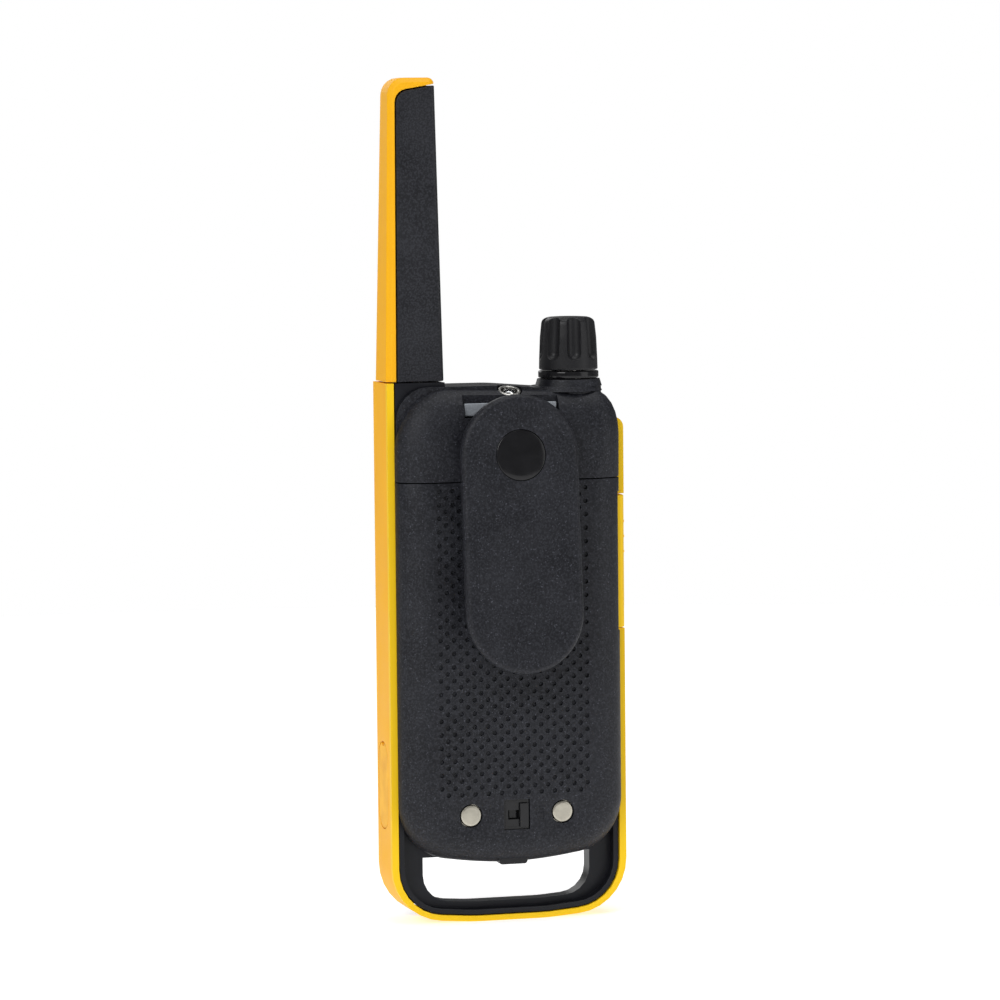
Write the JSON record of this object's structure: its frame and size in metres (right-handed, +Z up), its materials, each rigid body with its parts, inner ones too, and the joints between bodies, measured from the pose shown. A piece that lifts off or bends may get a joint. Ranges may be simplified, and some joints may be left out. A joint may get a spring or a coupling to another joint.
{
  "type": "two way radio",
  "caption": "Handheld two way radio with a blade antenna, volume knob, side talk button, belt clip, battery door and lanyard loop.",
  "frame": {"origin": "on the flat foot of the bumper band, at the middle of the band's width and depth", "axes": "+X to the antenna's side, +Y to the back (the belt clip's side), +Z up along the antenna"},
  "size_m": [0.0586, 0.0359, 0.2004],
  "materials": {
    "black_plastic": "fine spark-eroded grain",
    "smooth_black": "smooth satin",
    "gloss_black": "polished",
    "yellow_plastic": "satin, finely grained",
    "yellow_rubber": "matt",
    "grey_plastic": "satin",
    "steel": "satin",
    "nickel": "brushed nickel plate",
    "board": "solder mask",
    "clear": "clear",
    "display": "grey display behind a window",
    "black_rubber": "matt",
    "cell_wrap": "printed film, plain",
    "cloth": "fine dust cloth",
    "cone": "pressed cone"
  },
  "bodies": {
    "case": {"rear_housing": "black_plastic", "front_cover": "black_plastic", "bumper_band": "yellow_plastic", "antenna_sheath": "black_plastic", "antenna_strip": "yellow_plastic", "antenna_rod": "steel", "antenna_contact": "nickel", "clip_bracket": "grey_plastic", "clip_pin": "steel", "clip_spring": "steel", "clip_rail": "grey_plastic", "knob_ring": "gloss_black", "volume_control": "steel", "torch_ring": "steel", "torch_lens": "clear", "torch_led": "clear", "ptt_switch": "gloss_black", "charge_socket": "steel", "headset_jack": "gloss_black", "display_lens": "clear", "display_module": "display", "keypad_mat": "black_rubber", "main_board": "board", "radio_shield": "steel", "microphone": "steel", "speaker_cloth": "cloth", "speaker_frame": "steel", "speaker_cone": "cone", "speaker_magnet": "steel", "battery_plate_foot": "nickel", "battery_plate_head": "nickel", "door_seal": "black_rubber", "battery_cell_1": "cell_wrap", "battery_spring_1": "steel", "battery_cell_2": "cell_wrap", "battery_spring_2": "steel", "battery_cell_3": "cell_wrap", "battery_spring_3": "steel", "case_screw_1": "steel", "case_screw_2": "steel", "case_screw_3": "steel", "case_screw_4": "steel"},
    "knob": {"volume_knob": "smooth_black", "knob_shaft": "steel"},
    "ptt": {"ptt_button": "yellow_plastic"},
    "clip": {"belt_clip": "black_plastic", "clip_badge": "gloss_black"},
    "door": {"battery_door": "black_plastic", "charge_contact_right": "nickel", "charge_contact_left": "nickel"},
    "latch": {"door_latch": "gloss_black"},
    "port": {"port_cover": "yellow_rubber"},
    "key_minus_body": {"key_minus": "black_rubber"},
    "key_menu_body": {"key_menu": "black_rubber"},
    "key_plus_body": {"key_plus": "black_rubber"},
    "key_call_body": {"key_call": "black_rubber"},
    "key_scan_body": {"key_scan": "black_rubber"}
  },
  "joints": [
    {"name": "knob_turn", "type": "hinge", "parent": "case", "child": "knob", "pos_m": [-0.017, 0.0015, 0.1309], "axis": [0, 0, 1], "range_deg": [0, 300]},
    {"name": "ptt_press", "type": "slide", "parent": "case", "child": "ptt", "axis": [1, 0, 0], "range_m": [0, 0.0008], "stiffness_N_per_m": 1500, "springref_m": -0.0005},
    {"name": "clip_hinge", "type": "hinge", "parent": "case", "child": "clip", "pos_m": [0, 0.0141, 0.116], "axis": [1, 0, 0], "range_deg": [0, 25], "stiffness_Nm_per_rad": 0.4, "springref_deg": -20.05, "deforming": ["clip_spring"]},
    {"name": "door_tip", "type": "hinge", "parent": "case", "child": "door", "pos_m": [0, 0.0128, 0.10525], "axis": [1, 0, 0], "range_deg": [0, 9]},
    {"name": "latch_slide", "type": "slide", "parent": "door", "child": "latch", "axis": [1, 0, 0], "range_m": [0, 0.003]},
    {"name": "port_cover_hinge", "type": "hinge", "parent": "case", "child": "port", "pos_m": [0.02905, -0.001, 0.0225], "axis": [0, 1, 0], "range_deg": [0, 100]},
    {"name": "key_minus_press", "type": "slide", "parent": "case", "child": "key_minus_body", "axis": [0, 1, 0], "range_m": [0, 0.0006], "stiffness_N_per_m": 1500, "springref_m": -0.0005},
    {"name": "key_menu_press", "type": "slide", "parent": "case", "child": "key_menu_body", "axis": [0, 1, 0], "range_m": [0, 0.0006], "stiffness_N_per_m": 1500, "springref_m": -0.0005},
    {"name": "key_plus_press", "type": "slide", "parent": "case", "child": "key_plus_body", "axis": [0, 1, 0], "range_m": [0, 0.0006], "stiffness_N_per_m": 1500, "springref_m": -0.0005},
    {"name": "key_call_press", "type": "slide", "parent": "case", "child": "key_call_body", "axis": [0, 1, 0], "range_m": [0, 0.0006], "stiffness_N_per_m": 1500, "springref_m": -0.0005},
    {"name": "key_scan_press", "type": "slide", "parent": "case", "child": "key_scan_body", "axis": [0, 1, 0], "range_m": [0, 0.0006], "stiffness_N_per_m": 1500, "springref_m": -0.0005}
  ]
}
